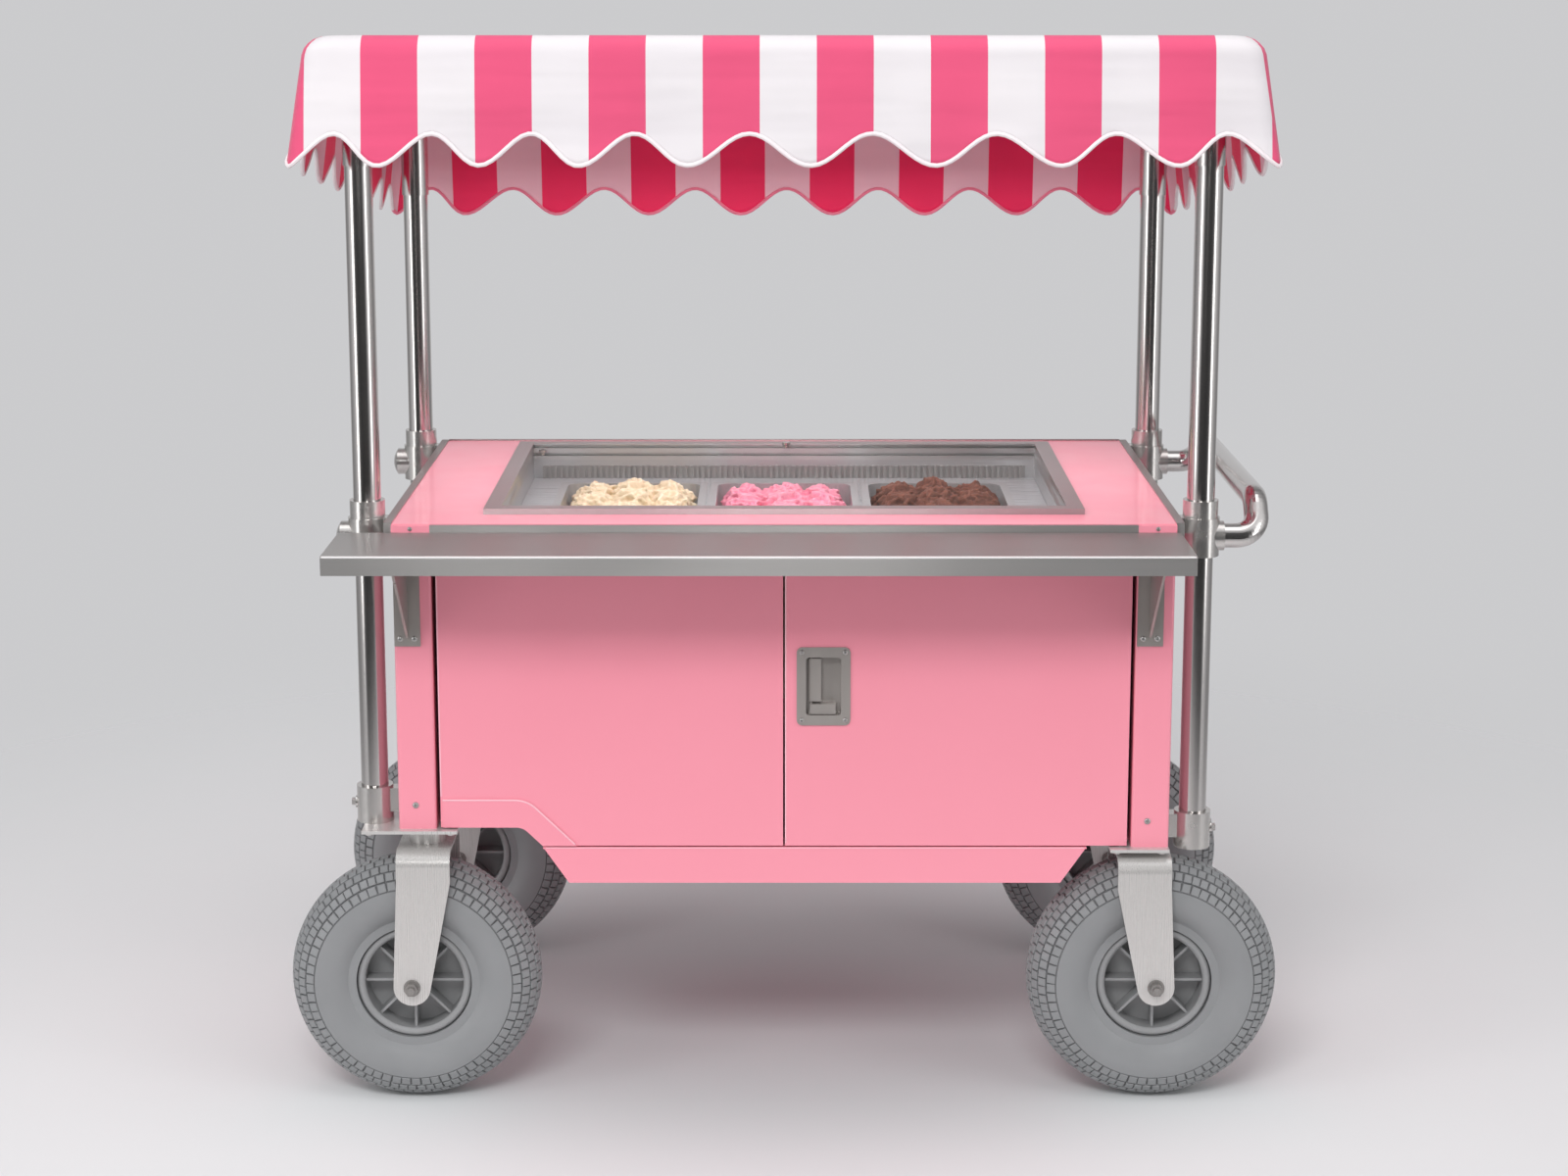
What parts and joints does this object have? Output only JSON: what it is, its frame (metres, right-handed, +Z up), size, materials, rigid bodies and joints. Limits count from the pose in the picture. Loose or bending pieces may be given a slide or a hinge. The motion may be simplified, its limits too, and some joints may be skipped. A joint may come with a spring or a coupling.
{
  "type": "ice cream push cart",
  "caption": "Ice cream push cart: painted cabinet on swivelling balloon-tyre casters, cold well under sliding glass lids, serving shelf, push handle and a striped scalloped canopy on posts.",
  "frame": {"origin": "on the ground, under the middle of the four wheels", "axes": "+X towards the push handle, -Y towards the customer and the serving shelf, +Z up"},
  "size_m": [1.5639, 1.132, 1.6801],
  "materials": {
    "pink_paint": "smooth gloss enamel",
    "brushed_steel": "brushed stainless steel",
    "satin_steel": "satin stainless sheet",
    "foam": "rigid foam",
    "cold_plate": "moulded tank, matt",
    "fin_aluminium": "extruded",
    "vanilla": "soft frozen surface",
    "strawberry": "soft frozen surface",
    "chocolate": "soft frozen surface",
    "canopy_cloth": "striped woven cloth",
    "grey_tyre": "matt grey rubber",
    "grey_rim": "moulded, satin",
    "lid_glass": "clear, polished"
  },
  "bodies": {
    "cart": {"cabinet_floor": "pink_paint", "side_panel_left": "pink_paint", "side_panel_right": "pink_paint", "back_panel": "pink_paint", "corner_post_left": "pink_paint", "corner_post_right": "pink_paint", "front_header": "pink_paint", "plinth": "pink_paint", "worktop": "pink_paint", "worktop_trim": "brushed_steel", "lid_track": "brushed_steel", "well_liner": "satin_steel", "well_jacket": "foam", "cold_plates": "cold_plate", "well_fins": "fin_aluminium", "pan_rack": "satin_steel", "pan_left": "satin_steel", "pan_middle": "satin_steel", "pan_right": "satin_steel", "scoops_left": "vanilla", "scoops_middle": "strawberry", "scoops_right": "chocolate", "shelf": "brushed_steel", "shelf_bracket_left": "brushed_steel", "shelf_bracket_right": "brushed_steel", "post_front_left": "brushed_steel", "post_front_right": "brushed_steel", "post_back_left": "brushed_steel", "post_back_right": "brushed_steel", "collar_front_left": "brushed_steel", "collar_front_right": "brushed_steel", "collar_back_left": "brushed_steel", "collar_back_right": "brushed_steel", "post_sockets": "brushed_steel", "collar_caps": "brushed_steel", "handle": "brushed_steel", "roof_frame": "brushed_steel", "canopy": "canopy_cloth", "caster_plates": "brushed_steel", "door_pins": "brushed_steel"},
    "door_left": {"door_left": "pink_paint"},
    "door_right": {"door_right": "pink_paint", "latch_dish": "brushed_steel"},
    "latch_paddle": {"latch_paddle": "brushed_steel"},
    "lid_left": {"lid_left": "lid_glass", "lid_knob_left": "brushed_steel"},
    "lid_right": {"lid_right": "lid_glass", "lid_knob_right": "brushed_steel"},
    "swivel_front_left": {"fork_front_left": "brushed_steel"},
    "wheel_front_left": {"rim_front_left": "grey_rim", "tyre_front_left": "grey_tyre"},
    "swivel_front_right": {"fork_front_right": "brushed_steel"},
    "wheel_front_right": {"rim_front_right": "grey_rim", "tyre_front_right": "grey_tyre"},
    "swivel_back_left": {"fork_back_left": "brushed_steel"},
    "wheel_back_left": {"rim_back_left": "grey_rim", "tyre_back_left": "grey_tyre"},
    "swivel_back_right": {"fork_back_right": "brushed_steel"},
    "wheel_back_right": {"rim_back_right": "grey_rim", "tyre_back_right": "grey_tyre"}
  },
  "joints": [
    {"name": "door_left_hinge", "type": "hinge", "parent": "cart", "child": "door_left", "pos_m": [-0.5265, -0.371, 0.67], "axis": [0, 0, -1], "range_deg": [0, 95]},
    {"name": "door_right_hinge", "type": "hinge", "parent": "cart", "child": "door_right", "pos_m": [0.5265, -0.371, 0.67], "axis": [0, 0, 1], "range_deg": [0, 95]},
    {"name": "latch_paddle_hinge", "type": "hinge", "parent": "door_right", "child": "latch_paddle", "pos_m": [0.042, -0.3735, 0.692], "axis": [0, 0, -1], "range_deg": [0, 40], "stiffness_Nm_per_rad": 0.15},
    {"name": "lid_left_slide", "type": "slide", "parent": "cart", "child": "lid_left", "axis": [1, 0, 0], "range_m": [0, 0.41]},
    {"name": "lid_right_slide", "type": "slide", "parent": "cart", "child": "lid_right", "axis": [-1, 0, 0], "range_m": [0, 0.41]},
    {"name": "swivel_front_left", "type": "hinge", "parent": "cart", "child": "swivel_front_left", "pos_m": [-0.563, -0.325, 0.42], "axis": [0, 0, 1], "continuous": true},
    {"name": "roll_front_left", "type": "hinge", "parent": "swivel_front_left", "child": "wheel_front_left", "pos_m": [-0.584, -0.325, 0.198], "axis": [0, 1, 0], "continuous": true},
    {"name": "swivel_front_right", "type": "hinge", "parent": "cart", "child": "swivel_front_right", "pos_m": [0.563, -0.325, 0.42], "axis": [0, 0, 1], "continuous": true},
    {"name": "roll_front_right", "type": "hinge", "parent": "swivel_front_right", "child": "wheel_front_right", "pos_m": [0.584, -0.325, 0.198], "axis": [0, 1, 0], "continuous": true},
    {"name": "swivel_back_left", "type": "hinge", "parent": "cart", "child": "swivel_back_left", "pos_m": [-0.563, 0.325, 0.42], "axis": [0, 0, 1], "continuous": true},
    {"name": "roll_back_left", "type": "hinge", "parent": "swivel_back_left", "child": "wheel_back_left", "pos_m": [-0.584, 0.325, 0.198], "axis": [0, 1, 0], "continuous": true},
    {"name": "swivel_back_right", "type": "hinge", "parent": "cart", "child": "swivel_back_right", "pos_m": [0.563, 0.325, 0.42], "axis": [0, 0, 1], "continuous": true},
    {"name": "roll_back_right", "type": "hinge", "parent": "swivel_back_right", "child": "wheel_back_right", "pos_m": [0.584, 0.325, 0.198], "axis": [0, 1, 0], "continuous": true}
  ]
}
